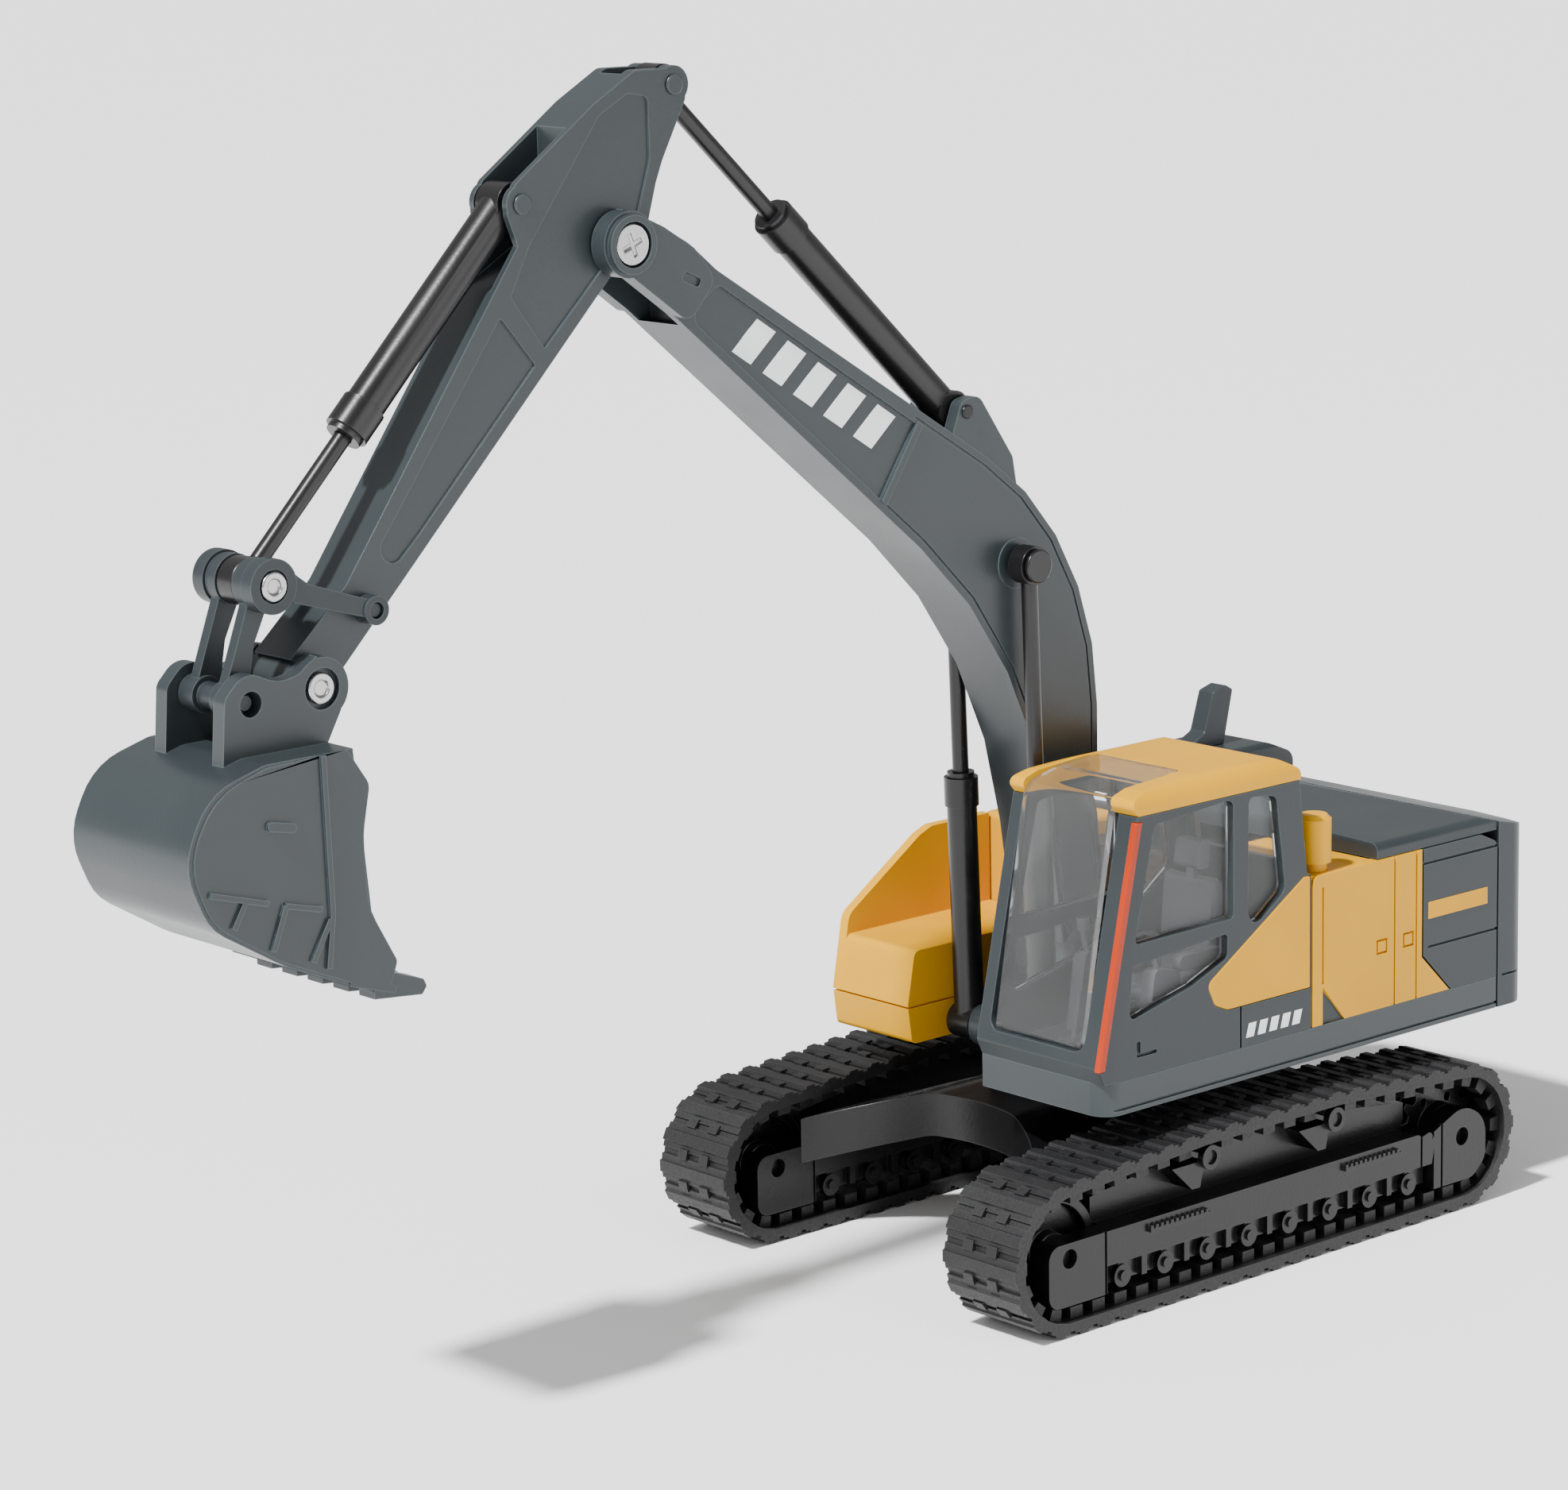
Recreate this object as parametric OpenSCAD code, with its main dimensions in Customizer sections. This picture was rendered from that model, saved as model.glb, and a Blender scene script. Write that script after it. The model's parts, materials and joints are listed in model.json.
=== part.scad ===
// Toy crawler excavator, about 1:50.
// Millimetres. Z is up, the front of the machine looks along -Y, the cab is on the +X side.
// The origin is where the slewing axis meets the floor.
// Side outlines are lists of [y, z, corner radius]; plan outlines are lists of [x, y, corner radius].

/* [Undercarriage] */
// Distance between the centre lines of the two tracks
track_gauge = 48.1; // [47:0.1:52]
// Width of each rubber track
track_width = 11.4; // [11:0.1:12]
// Distance between the idler axle and the sprocket axle
wheelbase = 65.2; // [64:0.2:68]
// Number of shoes on each track
shoe_count = 52; // [48:1:54]
// Radius of the idler wheels
idler_r = 6.7; // [6:0.1:6.8]
// Number of teeth on each sprocket
sprocket_teeth = 15; // [12:1:18]

/* [House] */
// Height of the underside of the deck
deck_base = 22.3; // [22.1:0.1:23]
// Half the width of the house
house_half_w = 26.8; // [26.5:0.1:28]
// Height of the top of the side panels
panel_top = 43.9; // [43.5:0.1:45]
// Distance of the rear of the counterweight from the slewing axis
tail_y = 53.6; // [53:0.1:54]
// Height of the cab roof
cab_top = 58.5; // [58:0.1:60]

/* [Digging front] */
// Offset of the boom's centre plane from the slewing axis
front_x = -1.2; // [-1.4:0.1:-1]
// Half the width of the boom
boom_half_w = 4.2; // [4.1:0.05:4.2]
// Half the width of the arm
arm_half_w = 3.1; // [2.9:0.05:3.1]
// Half the width of the bucket
bucket_half_w = 10; // [9:0.1:12]
// Distance of each boom cylinder from the boom's centre plane
boom_cylinder_x = 6.2; // [6.15:0.05:6.25]
// Outer radius of the boom cylinder barrels
boom_barrel_r = 1.75; // [1.5:0.05:1.75]
// Outer radius of the arm and bucket cylinder barrels
arm_barrel_r = 2.1; // [1.9:0.05:2.2]
// Radius of the cylinder rods
rod_r = 0.95; // [0.8:0.05:1]

/* [Hidden] */

$fn = 48;
slate = [0.27, 0.31, 0.32];
yellow = [1, 0.78, 0.12];
black = [0.12, 0.12, 0.13];
charcoal = [0.17, 0.17, 0.18];
orange = [0.92, 0.35, 0.1];
silver = [0.85, 0.86, 0.88];
clear = [0.8, 0.85, 0.88, 0.4];

run_gap = 0.05;     // radial clearance of a pin in a moving bore
face_gap = 0.15;    // clearance between flat faces that slide past each other
cut = 0.01;         // overshoot of a cutter past the face it opens

// Undercarriage
track_x = track_gauge / 2;
axle_y = wheelbase / 2;
grouser_h = 0.6;
band_t = 1.0;
lug_h = 1.3;
band_in_r = 7.2;                            // inside radius of the band round the wheels
axle_z = band_in_r + band_t + grouser_h;
crown_angle = 3.4;                          // rise of the upper run towards the carrier rollers
crown_y = 11;                               // half the length of the level part of the upper run
crown_in_z = axle_z + band_in_r * cos(crown_angle)
    + (axle_y + band_in_r * sin(crown_angle) - crown_y) * tan(crown_angle);
wheel_half_w = 2.5;
frame_half_w = 5.3;
beam_top = 10.6;
beam_base = 3.2;
wall_half_w = 1.8;                          // centre wall of each track frame
wall_top = 15.4;
axle_r = 1.1;
chassis_half_w = track_x - frame_half_w;
turret_r = 12;
slew_hub_r = 3;

// House
deck_top = deck_base + 3.9;
panel_t = 1.4;
cab_in_x = 7.3;
cab_front_y = -24.4;
cab_rear_y = 9;
cab_wall = 1.5;
cab_floor_t = 1.4;
seat_x = 16.75;                             // centre plane of the seat and its consoles
gap_line = 0.3;                             // open seam between two body panels
counterweight_y = 41.8;
hood_front_y = 20.5;
hood_z = 44;
cover_top = 48.5;                           // top of the radiator cover
pre_cleaner_x = house_half_w - 2.5;
pre_cleaner_y = 12.2;

// Pivots of the digging front, [y, z]
boom_foot = [-3, 33];
arm_pivot = [-70.1, 121.3];
bucket_pivot = [-111.8, 80.8];
boom_cylinder_foot = [-12.3, 24.8];
boom_cylinder_top = [-14, 80.5];
arm_cylinder_foot = [-21.2, 98.4];
arm_cylinder_head = [-61.8, 137.1];
bucket_cylinder_foot = [-82.4, 126.3];
link_head = [-116.5, 91.6];
guide_pivot = [-104, 87.5];
bucket_link_pivot = [-120.5, 80.5];

pin_r = 0.8;
rivet_r = 0.95;
boom_eye_bore_r = 1.2;                      // the open eyes are wide, because they drift about their pins
arm_eye_bore_r = 1.5;
bucket_eye_bore_r = 1.35;
ear_bore_r = 1.3;
cheek_in_x = arm_half_w + face_gap;         // inside of the boom's forked tip
cheek_out_x = 5.4;
boom_foot_half_w = 1.75;                    // half widths of the eyes of each boom cylinder
boom_eye_half_w = 1.1;
ear_in_x = 4;                               // inside of the bucket ears
ear_out_x = 5.9;

// ---------- outlines ----------

// Direction from one corner to another, of length 1.
function heading(from, to) = (to - from) / norm(to - from);

// Points of the arc that replaces one corner.
function corner_arc(before, corner, after, r) =
    r == 0 ? [corner] :
    let (
        back = heading(corner, before),
        ahead = heading(corner, after),
        half = acos(back * ahead) / 2,
        centre = corner + (back + ahead) / norm(back + ahead) * r / sin(half),
        start = corner + back * r / tan(half) - centre,
        side = cross(back, ahead) > 0 ? -1 : 1,
        turn = 180 - 2 * half,
        steps = max(1, ceil(turn / 12))
    )
    [for (i = [0 : steps]) let (a = side * turn * i / steps)
        centre + [start.x * cos(a) - start.y * sin(a), start.x * sin(a) + start.y * cos(a)]];

// Points of an outline whose corners [a, b, radius] are rounded.
function rounded(corners) =
    let (n = len(corners), flat = [for (c = corners) [c.x, c.y]])
    [for (i = [0 : n - 1]) each corner_arc(flat[(i + n - 1) % n], flat[i], flat[(i + 1) % n], corners[i].z)];

// The same outline moved inwards by d. The outline runs anticlockwise.
function inset(points, d) =
    let (n = len(points))
    [for (i = [0 : n - 1])
        let (
            a = heading(points[(i + n - 1) % n], points[i]),
            b = heading(points[i], points[(i + 1) % n]),
            na = [-a.y, a.x],
            nb = [-b.y, b.x]
        )
        points[i] + d * (na + nb) / (1 + na * nb)];

// ---------- placing helpers ----------

// Extrudes a side outline (y, z) from x0 to x1.
module slab(x0, x1)
    translate([x0, 0, 0]) rotate([90, 0, 90]) linear_extrude(x1 - x0) children();

// Extrudes a front outline (x, z) from y0 to y1.
module thick(y0, y1)
    translate([0, y1, 0]) rotate([90, 0, 0]) linear_extrude(y1 - y0) children();

// Extrudes a plan outline (x, y) from z0 to z1.
module plan(z0, z1)
    translate([0, 0, z0]) linear_extrude(z1 - z0) children();

// Cylinder along X through the point at = [y, z].
module rod_x(at, r, x0, x1)
    translate([x0, at[0], at[1]]) rotate([0, 90, 0]) cylinder(r = r, h = x1 - x0);

// Block between two opposite corners.
module block(from, to)
    translate(from) cube(to - from);

// Puts children that point along +Z on the line from one [y, z] point to another.
module aim(from, to)
    translate([0, from[0], from[1]]) rotate([-atan2(to[0] - from[0], to[1] - from[1]), 0, 0]) children();

// Moves children, drawn about the plane x = 0, to the digging front's centre plane.
module on_front()
    translate([front_x, 0, 0]) children();

// Draws children and their mirror image across x = 0.
module both_sides() {
    children();
    mirror([1, 0, 0]) children();
}

// Draws children and their mirror image across the plane x = centre.
module both_sides_of(centre)
    translate([centre, 0, 0]) both_sides() children();

// ---------- undercarriage ----------

arc_turn = 180 - crown_angle;
base_len = wheelbase;
end_len = 2 * PI * (band_in_r + band_t / 2) * arc_turn / 360;
slope_len = (axle_y + band_in_r * sin(crown_angle) - crown_y) / cos(crown_angle);
belt_len = base_len + 2 * end_len + 2 * slope_len + 2 * crown_y;

// Point of the belt at travel s, at a distance d outside the inner face of the band.
function belt_point(s, d) =
    s < base_len ? [s - axle_y, axle_z - band_in_r - d] :
    s < base_len + end_len ?
        let (a = -90 + arc_turn * (s - base_len) / end_len)
        [axle_y, axle_z] + (band_in_r + d) * [cos(a), sin(a)] :
    s < base_len + end_len + slope_len ?
        let (u = s - base_len - end_len)
        [axle_y + (band_in_r + d) * sin(crown_angle) - u * cos(crown_angle),
         axle_z + (band_in_r + d) * cos(crown_angle) + u * sin(crown_angle)] :
    s < base_len + end_len + slope_len + crown_y ?
        [crown_y - (s - base_len - end_len - slope_len), crown_in_z + d] :
        let (mirrored = belt_point(belt_len + base_len - s, d))
        [-mirrored.x, mirrored.y];

// Closed outline at a distance d outside the band's inner face. The profile of one pitch is repeated
// for every shoe; its points are [share of the pitch, height above d].
function belt_loop(d, profile) =
    let (pitch = belt_len / shoe_count)
    [for (i = [0 : shoe_count - 1]) for (step = profile) belt_point((i + step[0]) * pitch, d + step[1])];

plain_profile = [[0.2, 0], [0.8, 0]];
shoe_profile = [[0.1, 0], [0.1, 0.3], [0.3, 0.3], [0.34, grouser_h], [0.68, grouser_h], [0.72, 0.3],
    [0.9, 0.3], [0.9, 0]];
stud_profile = [[0.78, 0], [0.82, grouser_h], [1.12, grouser_h], [1.16, 0]];
lug_profile = [[0.2, 0], [0.2, -lug_h], [0.75, -lug_h], [0.75, 0]];

module belt_layer(x0, x1, profile)
    slab(x0, x1) difference() {
        polygon(belt_loop(band_t, profile));
        polygon(belt_loop(0, plain_profile));
    }

module lug_layer(x0, x1)
    slab(x0, x1) difference() {
        polygon(belt_loop(band_t / 2, plain_profile));
        polygon(belt_loop(0, lug_profile));
    }

module track() {
    belt_layer(-track_width / 2, track_width / 2, shoe_profile);
    both_sides() {
        belt_layer(1.1, 2.6, stud_profile);
        lug_layer(2.8, 4.6);
    }
}

module idler() {
    difference() {
        union() {
            rod_x([0, 0], idler_r, -wheel_half_w, wheel_half_w);
            rod_x([0, 0], 2.4, -wheel_half_w - 0.1, wheel_half_w + 0.1);
        }
        rod_x([0, 0], axle_r + run_gap, -wheel_half_w - 1, wheel_half_w + 1);
        both_sides() difference() {
            rod_x([0, 0], idler_r - 1.2, 1.4, wheel_half_w + cut);
            rod_x([0, 0], 2.4, 1.3, wheel_half_w + 1);
        }
    }
}

module sprocket() {
    root_r = idler_r - 1.3;
    tooth_half_w = 1.1;
    difference() {
        union() {
            rod_x([0, 0], root_r, -tooth_half_w, tooth_half_w);
            slab(-tooth_half_w, tooth_half_w)
                for (i = [0 : sprocket_teeth - 1]) rotate(i * 360 / sprocket_teeth)
                    polygon([[root_r - 0.6, -0.9], [idler_r, -0.35], [idler_r, 0.35], [root_r - 0.6, 0.9]]);
            rod_x([0, 0], 3.4, -wheel_half_w - 0.1, wheel_half_w + 0.1);
        }
        rod_x([0, 0], axle_r + run_gap, -wheel_half_w - 1, wheel_half_w + 1);
        for (i = [0 : 5]) rod_x(4.2 * [cos(60 * i), sin(60 * i)], 0.5, -2, 2);
    }
}

// Side outlines of the frame's end bosses.
front_boss = [[-35.8, 3.4, 1.6], [-26.8, 3.4, 0], [-26.8, 10.6, 0], [-35.8, 10.6, 1.6]];
rear_boss = [[27.6, 3.4, 0], [34.5, 3.4, 2], [36.8, 5.4, 2], [36.8, 10.4, 3.6], [32.8, 12.6, 4],
    [27.6, 10.4, 0]];
roller_y = [for (i = [0 : 7]) -23.8 + 6.8 * i];
carrier_y = [-10.4, 10.4];

// Lower rollers moulded in the recess, with a hanger beside each.
module lower_rollers() {
    roller_z = beam_base + 1.5;
    for (y = roller_y) {
        rod_x([y, roller_z], 1.3, frame_half_w - 2.2, frame_half_w - 0.6);
        rod_x([y, roller_z], 0.6, frame_half_w - 1, frame_half_w - 0.3);
        block([frame_half_w - 2.2, y - 0.5, roller_z], [frame_half_w - 0.8, y + 0.9, 7]);
        if (y < 22) block([frame_half_w - 2.2, y + 3, roller_z - 0.6], [frame_half_w - 0.6, y + 3.8, 7]);
    }
}

// Carrier roller ring under the upper run, on a bracket from the centre wall.
module carrier(y) {
    slab(wall_half_w - cut, frame_half_w - 0.5)
        polygon([[y - 5.6, 15.2], [y - 2.4, 12.2], [y - 1.1, 12.2], [y - 0.4, 15.2]]);
    difference() {
        rod_x([y, 15.6], 1.42, frame_half_w - 0.6, frame_half_w + 0.25);
        rod_x([y, 15.6], 0.85, frame_half_w - 0.1, frame_half_w + 1);
    }
}

// Frame of the left track; its outside faces +X.
module track_frame() {
    cheek_t = frame_half_w - wheel_half_w - face_gap;
    difference() {
        union() {
            // beam: full width above the ledge, recessed below it
            slab(-frame_half_w, frame_half_w)
                polygon(rounded([[-27, 6.6, 0], [25.5, 6.6, 0], [27.2, 6.6, 0], [28, 10.2, 0],
                    [29.2, 11.2, 0.6], [25.5, beam_top - 0.4, 0], [24.8, beam_top, 0], [-27, beam_top, 0]]));
            slab(-frame_half_w + 1.4, frame_half_w - 1.4)
                polygon([[-27.2, beam_base + 0.8], [27.2, beam_base + 0.8], [27.2, 7], [-27.2, 7]]);
            // centre wall up to the upper run
            slab(-wall_half_w, wall_half_w)
                polygon([[-26, beam_top - 1], [26, beam_top - 1], [26, 13.6], [12, wall_top],
                    [-12, wall_top], [-26, 13.6]]);
            both_sides() {
                slab(frame_half_w - cheek_t, frame_half_w) polygon(rounded(front_boss));
                slab(frame_half_w - cheek_t, frame_half_w) polygon(rounded(rear_boss));
                lower_rollers();
            }
            for (y = carrier_y) carrier(y);
            // step pads along the beam
            for (y = [-20.4, 11.7]) {
                block([frame_half_w - 1, y, 9.1], [frame_half_w + 0.5, y + 9.6, 9.5]);
                for (i = [0 : 11])
                    block([frame_half_w - 1, y + 0.8 * i, 9.2],
                        [frame_half_w + 0.5, y + 0.8 * i + 0.4, 9.9]);
            }
        }
        // slots for the wheels and bores for their axles
        for (end = [-1, 1]) {
            rod_x([end * axle_y, axle_z], idler_r + 0.5, -wheel_half_w - face_gap, wheel_half_w + face_gap);
            rod_x([end * axle_y, axle_z], axle_r, -frame_half_w - 1, frame_half_w + 1);
        }
        // seams behind the bosses
        both_sides() for (y = [-27.2, 25.2, 28.8])
            block([frame_half_w - 0.3, y, 2.5], [frame_half_w + 1, y + 0.35, 13]);
    }
}

module right_track_frame()
    mirror([1, 0, 0]) translate([track_x, 0, 0]) track_frame();

module axle_pins()
    both_sides() for (end = [-1, 1])
        rod_x([end * axle_y, axle_z], axle_r, track_x - frame_half_w + 1, track_x + frame_half_w - 1);

module chassis() {
    arm_out_y = 29;
    front_sag = 11;
    side_sag = 8.5;
    front_r = (chassis_half_w ^ 2 + front_sag ^ 2) / (2 * front_sag);
    side_r = ((arm_out_y - 11) ^ 2 + side_sag ^ 2) / (2 * side_sag);
    difference() {
        union() {
            intersection() {
                thick(-arm_out_y, arm_out_y)
                    polygon(rounded([[-chassis_half_w, 8.6, 0], [-7, 12.4, 6], [7, 12.4, 6],
                        [chassis_half_w, 8.6, 0], [chassis_half_w, 14, 0], [7, 17.6, 8], [-7, 17.6, 8],
                        [-chassis_half_w, 14, 0]]));
                difference() {
                    block([-chassis_half_w, -arm_out_y, 0], [chassis_half_w, arm_out_y, 30]);
                    for (end = [-1, 1]) {
                        translate([0, end * (arm_out_y - front_sag + front_r), -1])
                            cylinder(r = front_r, h = 40);
                        translate([end * (chassis_half_w - side_sag + side_r), 0, -1])
                            cylinder(r = side_r, h = 40);
                    }
                }
            }
            translate([0, 0, 13]) cylinder(r = turret_r - 1.5, h = 6);
            translate([0, 0, 18.4]) cylinder(r = turret_r, h = deck_base - 18.4 - face_gap);
        }
        translate([0, 0, 5]) cylinder(r = slew_hub_r + run_gap, h = 30);
        translate([0, 0, 5]) cylinder(r = 5.2, h = 9);
    }
}

// ---------- house ----------

module deck() {
    difference() {
        union() {
            plan(deck_base, deck_top) polygon(rounded([
                [cab_in_x, cab_front_y, 0], [house_half_w, cab_front_y, 2.5],
                [house_half_w, counterweight_y - gap_line, 0],
                [-house_half_w, counterweight_y - gap_line, 0], [-house_half_w, 20.6, 0],
                [-24.2, 20.6, 0], [-24.2, 6.3, 0], [-11.1, 6.3, 0],
                [-11.1, -9.5, 0], [cab_in_x, -9.5, 0]]));
            // tongue that carries the counterweight
            block([-16, 40, deck_base + 1.5], [16, 47, deck_top]);
            // lug for the boom cylinder feet
            on_front() {
                slab(-boom_cylinder_x + 2.05, boom_cylinder_x - 2.05)
                    polygon(rounded([[-9, deck_base, 0], [-9, 27.2, 0], [-14.5, 27.2, 2.2],
                        [-14.5, deck_base, 2.2]]));
                // plates for the boom foot
                both_sides() slab(boom_half_w + face_gap, boom_half_w + 1.7)
                    polygon(rounded([[-8.6, deck_top - cut, 0], [4, deck_top - cut, 0],
                        [1.6, boom_foot[1] + 3.6, 3.4], [-7, boom_foot[1] + 3.6, 3.4]]));
            }
            translate([0, 0, 13.2]) cylinder(r = slew_hub_r, h = deck_base - 13.2 + cut);
        }
        on_front() {
            rod_x(boom_foot, 1.1, -8, 8);
            rod_x(boom_cylinder_foot, pin_r, -8, 8);
        }
        translate([0, 0, 10]) cylinder(r = 0.8, h = 12);
        // groove along the left skirt under the cab
        block([house_half_w - 0.3, cab_front_y - 1, deck_base + 0.55],
            [house_half_w + 1, 46, deck_base + 0.85]);
    }
}

module slew_screw() {
    difference() {
        union() {
            translate([0, 0, 11]) cylinder(r = 4.6, h = 2.2);
            translate([0, 0, 13]) cylinder(r = 0.8, h = 7);
        }
        for (a = [0, 90]) rotate(a) block([-1.8, -0.3, 10], [1.8, 0.3, 11.8]);
    }
}

// Hollow black moulding that the outer panels are fixed to.
module house_core() {
    side = house_half_w - panel_t - 0.1;
    outer = [[-side, 20.9], [-10.9, 20.9], [-10.9, 9.4], [side, 9.4], [side, 41.2], [-side, 41.2]];
    difference() {
        plan(deck_top, 42.3) polygon(outer);
        plan(deck_top - cut, 40.8) polygon(inset(outer, 1.6));
    }
    // screw posts
    for (x = [-20, 20]) for (y = [27, 37]) difference() {
        translate([x, y, deck_top]) cylinder(r = 2.2, h = 15);
        translate([x, y, deck_top - cut]) cylinder(r = 0.9, h = 10);
    }
}

module left_side_panel() {
    x = house_half_w;
    difference() {
        union() {
            slab(x - panel_t, x) polygon(rounded([[9.3, deck_top, 0], [33, deck_top, 0], [28.1, 31, 0],
                [28.1, panel_top, 0], [9.3, panel_top, 1.2]]));
            // top plate with the shelf for the pre-cleaner
            block([9.3, 9.3, 42.4], [x - 0.5, hood_front_y - 0.1, panel_top]);
        }
        // recessed dark triangle, door seams and latch pulls
        slab(x - 0.35, x + 1)
            polygon(rounded([[11, 30.6, 0], [11, deck_top - 1, 0], [15.6, deck_top - 1, 0]]));
        for (y = [23.2, 27]) block([x - 0.35, y, deck_top - 1], [x + 1, y + 0.3, panel_top + 1]);
        block([x - 0.35, 10.9, 31], [x + 1, 11.2, panel_top - 1.5]);
        for (y = [20.2, 24.8]) difference() {
            block([x - 0.4, y, 32.7], [x + 1, y + 1.9, 34.5]);
            block([x - 1, y + 0.3, 33], [x + 0.1, y + 1.6, 34.2]);
        }
        translate([pre_cleaner_x, pre_cleaner_y, 42]) cylinder(r = 0.8, h = 5);
    }
}

module right_side_panel() {
    x = -house_half_w;
    difference() {
        slab(x, x + panel_t) polygon(rounded([[20.7, deck_top, 0], [33, deck_top, 0], [28.1, 31, 0],
            [28.1, panel_top, 0], [20.7, panel_top, 0]]));
        for (y = [24, 27]) block([x - 1, y, deck_top - 1], [x + 0.35, y + 0.3, panel_top + 1]);
    }
}

module rear_panel() {
    x = house_half_w;
    difference() {
        slab(x - panel_t, x) polygon(rounded([[28.4, 31.1, 0], [33.3, deck_top, 0], [41.5, deck_top, 0],
            [41.5, 42.6, 1.2], [38.6, 43.9, 0.8], [28.4, 43.9, 0]]));
        block([x - 0.3, 28, 42], [x + 1, 42, 42.3]);
        block([x - 0.3, 29.2, 31.9], [x + 1, 42, 32.2]);
    }
}

module engine_hood() {
    x = house_half_w - 0.2;
    rear_y = counterweight_y - gap_line;
    difference() {
        intersection() {
            thick(hood_front_y, rear_y)
                polygon(rounded([[-x, hood_z, 0], [x, hood_z, 0], [x, 45.8, 1], [0, 46.6, 60],
                    [-x, 45.8, 1]]));
            slab(-x - 1, x + 1)
                polygon(rounded([[hood_front_y, hood_z, 0], [rear_y, hood_z, 0], [rear_y, 45, 0.6],
                    [36, 46.6, 10], [hood_front_y, 46.6, 1.2]]));
        }
        // opening round the radiator cover
        block([-22.9, 27.9, 40], [-12.1, 50, 50]);
    }
}

module counterweight() {
    x = house_half_w;
    difference() {
        intersection() {
            plan(deck_base, 46) polygon(rounded([
                [-x, counterweight_y, 0], [x, counterweight_y, 0], [x, tail_y - 7.4, 3.2],
                [x - 5, tail_y - 4.7, 6],
                [12, tail_y - 1.3, 40], [0, tail_y, 50], [-12, tail_y - 1.3, 40], [-x + 5, tail_y - 4.7, 6],
                [-x, tail_y - 7.4, 3.2]]));
            slab(-x - 1, x + 1)
                polygon(rounded([[counterweight_y, deck_base, 0], [54, deck_base, 2], [54, 42.2, 3.5],
                    [counterweight_y, 45, 0]]));
        }
        // pocket for the deck's tongue
        block([-16.05, 40, deck_base + 1.45], [16.05, 47.05, deck_top + 0.05]);
        // recess for the radiator cover
        block([-22.9, 40, 42], [-12.1, 48.6, 50]);
        // parting groove
        difference() {
            block([-x - 1, 42.5, 26], [x + 1, 60, 26.3]);
            block([-x + 0.3, 40, 25], [x - 0.3, 53.2, 27]);
        }
    }
}

module radiator_cover()
    intersection() {
        slab(-23, -12) polygon(rounded([[28, 44, 0], [48.5, 42.1, 0], [48.5, 46.6, 1.8], [44, cover_top, 3],
            [30, cover_top, 1.5], [28, 46.8, 1]]));
        thick(20, 50) polygon(rounded([[-22.8, 42, 0], [-12.2, 42, 0], [-12.2, cover_top + 0.1, 1],
            [-22.8, cover_top + 0.1, 1]]));
    }

module exhaust()
    slab(-18.2, -15.6)
        polygon(rounded([[34, cover_top, 0], [39.6, cover_top, 0], [41.2, 55.2, 0.3], [40, 55.9, 0.5],
            [37.8, 55.3, 0.4], [36.2, 50.4, 0.8], [34, 49.4, 0]]));

module pre_cleaner()
    translate([pre_cleaner_x, pre_cleaner_y, 0]) {
        translate([0, 0, 42.6]) cylinder(r = 0.75, h = 1.4);
        translate([0, 0, panel_top]) cylinder(r = 1.5, h = 1.2);
        translate([0, 0, panel_top + 1]) cylinder(r = 2, h = 5.1);
        translate([0, 0, panel_top + 6]) cylinder(r1 = 2, r2 = 1.5, h = 0.6);
    }

module tool_box() {
    x0 = -24.2;
    x1 = -11.2;
    difference() {
        union() {
            // box with a step on top
            slab(x0, x1) polygon(rounded([[-18, deck_base, 0.8], [6.1, deck_base, 0], [6.1, 33.4, 0],
                [-17.4, 33.4, 1], [-18.6, 27, 0.5]]));
            // thin outer wall that rises to the tank
            slab(x0, x0 + 1.3) polygon(rounded([[-18, deck_base, 0.8], [6.1, deck_base, 0], [6.1, 44.2, 0],
                [-3.4, 44.2, 1.5], [-5.4, 43.4, 1], [-17, 35.7, 2], [-18.6, 27, 0.5]]));
        }
        // seam above the toe board, underside hollow
        difference() {
            block([x0 - 1, -20, 26.6], [x1 + 1, 5, 26.85]);
            block([x0 + 0.3, -18.1, 26], [x1 - 0.3, 6, 28]);
        }
        block([x0 + 1.4, -16.4, deck_base - 1], [x1 - 1.4, 4.6, 31.8]);
    }
}

module fuel_tank()
    difference() {
        slab(-24.2, -11.2)
            polygon(rounded([[6.4, deck_top, 0], [20.4, deck_top, 0], [20.4, 44.2, 0.8],
                [6.4, 44.2, 0.8]]));
        block([-22.8, 7.8, deck_top - 1], [-12.6, 19, 42.6]);
    }

// ---------- cab ----------

// Side outline of the cab's slate frame.
cab_side = [[cab_front_y, deck_top, 0], [cab_rear_y, deck_top, 0], [cab_rear_y, 44.2, 0], [8.3, 44.6, 0.4],
    [7, 55.8, 0.5], [-19, 55.8, 0.5], [cab_front_y - 0.8, 28, 0.6]];
// Windows in the cab's side.
door_window = [[-16.4, 54.3, 1], [-19.7, 41.3, 0.6], [-3.8, 41.5, 0.6], [-3.8, 55.2, 1]];
lower_window = [[-20, 38.9, 0.5], [-20.6, 32.7, 0.8], [-10.6, 34.9, 1.5], [-4.8, 37.1, 0.8],
    [-4.8, 39.9, 0.5]];
rear_window = [[-1.3, 55, 0.8], [-1.5, 39, 1.5], [4.7, 43.2, 1.5], [3.2, 54.4, 1]];
roof_outline = [[-20.2, 57.2, 0.8], [-18.9, 55.65, 0], [7.3, 55.65, 0], [7.4, 56.8, 1.2], [4, cab_top, 3],
    [-10, cab_top + 0.1, 10], [-17.4, cab_top - 0.4, 1.8]];
side_inset = [[8.9, 31, 0], [8.9, 44.2, 0], [7.8, 44.3, 0], [-8.2, 34.6, 1], [-6.9, 31.9, 1], [-4.8, 31, 1]];

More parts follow.
